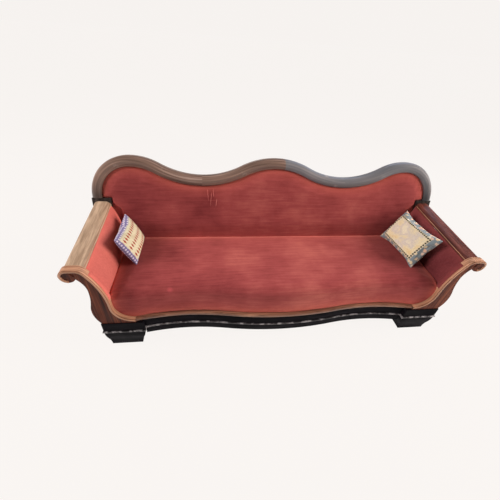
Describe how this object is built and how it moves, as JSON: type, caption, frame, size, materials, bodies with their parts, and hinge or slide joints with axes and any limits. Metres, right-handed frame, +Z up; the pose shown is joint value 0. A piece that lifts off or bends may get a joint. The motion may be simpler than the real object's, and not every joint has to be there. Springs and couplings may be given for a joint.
{
  "type": "settee",
  "caption": "Victorian settee with a triple-hump back, wide veneered crest, scroll arms, serpentine front rail, block feet, sprung velvet upholstery and loose throw cushions.",
  "frame": {"origin": "on the floor, at the middle of the settee's overall box", "axes": "+X along the settee to the sitter's left, -Y the front, +Z up"},
  "size_m": [2.276, 0.7298, 0.9025],
  "materials": {
    "crest_veneer": "aged mahogany veneer, satin",
    "dark_mahogany": "ebonised mahogany, dull gloss",
    "cap_walnut": "worn walnut moulding, rubbed",
    "mahogany_veneer": "dark red mahogany veneer",
    "arm_veneer": "worn mahogany veneer, dry",
    "frame_wood": "plain sawn poplar",
    "red_velvet": "faded red velvet",
    "horsehair": "curled horsehair stuffing",
    "jute": "woven jute",
    "black_cotton": "thin black cotton",
    "spring_steel": "drawn steel wire",
    "cream_cushion": "printed cotton with violet edging",
    "needlepoint_cushion": "wool needlepoint",
    "cushion_fibre": "polyester fibre filling"
  },
  "bodies": {
    "settee": {"back_cover": "red_velvet", "back_cross_rails": "frame_wood", "back_seat_rail": "frame_wood", "back_stuffing": "horsehair", "back_uprights": "frame_wood", "back_webbing": "jute", "corner_glue_blocks": "frame_wood", "crest_centre": "crest_veneer", "crest_dowels": "frame_wood", "crest_left": "crest_veneer", "crest_right": "crest_veneer", "dust_cover": "black_cotton", "front_rail_bead": "dark_mahogany", "front_rail_cap": "cap_walnut", "front_seat_rail": "dark_mahogany", "left_arm_cover": "red_velvet", "left_arm_edge_band": "cap_walnut", "left_arm_facing": "mahogany_veneer", "left_arm_outside_cover": "red_velvet", "left_arm_roll": "arm_veneer", "left_arm_stuffing": "horsehair", "left_arm_stumps": "frame_wood", "left_arm_tack_rail": "frame_wood", "left_back_end_block": "dark_mahogany", "left_back_post": "frame_wood", "left_corner_block": "dark_mahogany", "left_foot_bead": "dark_mahogany", "left_front_foot": "dark_mahogany", "left_side_rail": "frame_wood", "lower_back_rail": "frame_wood", "outer_back_cover": "red_velvet", "right_arm_cover": "red_velvet", "right_arm_edge_band": "cap_walnut", "right_arm_facing": "mahogany_veneer", "right_arm_outside_cover": "red_velvet", "right_arm_roll": "arm_veneer", "right_arm_stuffing": "horsehair", "right_arm_stumps": "frame_wood", "right_arm_tack_rail": "frame_wood", "right_back_end_block": "dark_mahogany", "right_back_post": "frame_wood", "right_corner_block": "dark_mahogany", "right_foot_bead": "dark_mahogany", "right_front_foot": "dark_mahogany", "right_side_rail": "frame_wood", "seat_cover": "red_velvet", "seat_cross_braces": "frame_wood", "seat_springs": "spring_steel", "seat_stuffing": "horsehair", "seat_webbing": "jute", "spring_hessian": "jute"},
    "left_cushion": {"left_cushion_cover": "cream_cushion", "left_cushion_filling": "cushion_fibre"},
    "right_cushion": {"right_cushion_cover": "needlepoint_cushion", "right_cushion_filling": "cushion_fibre"}
  },
  "joints": [
    {"name": "left_cushion_lift", "type": "slide", "parent": "settee", "child": "left_cushion", "axis": [0, 0, 1], "range_m": [0, 0.6]},
    {"name": "right_cushion_lift", "type": "slide", "parent": "settee", "child": "right_cushion", "axis": [0, 0, 1], "range_m": [0, 0.6]}
  ]
}
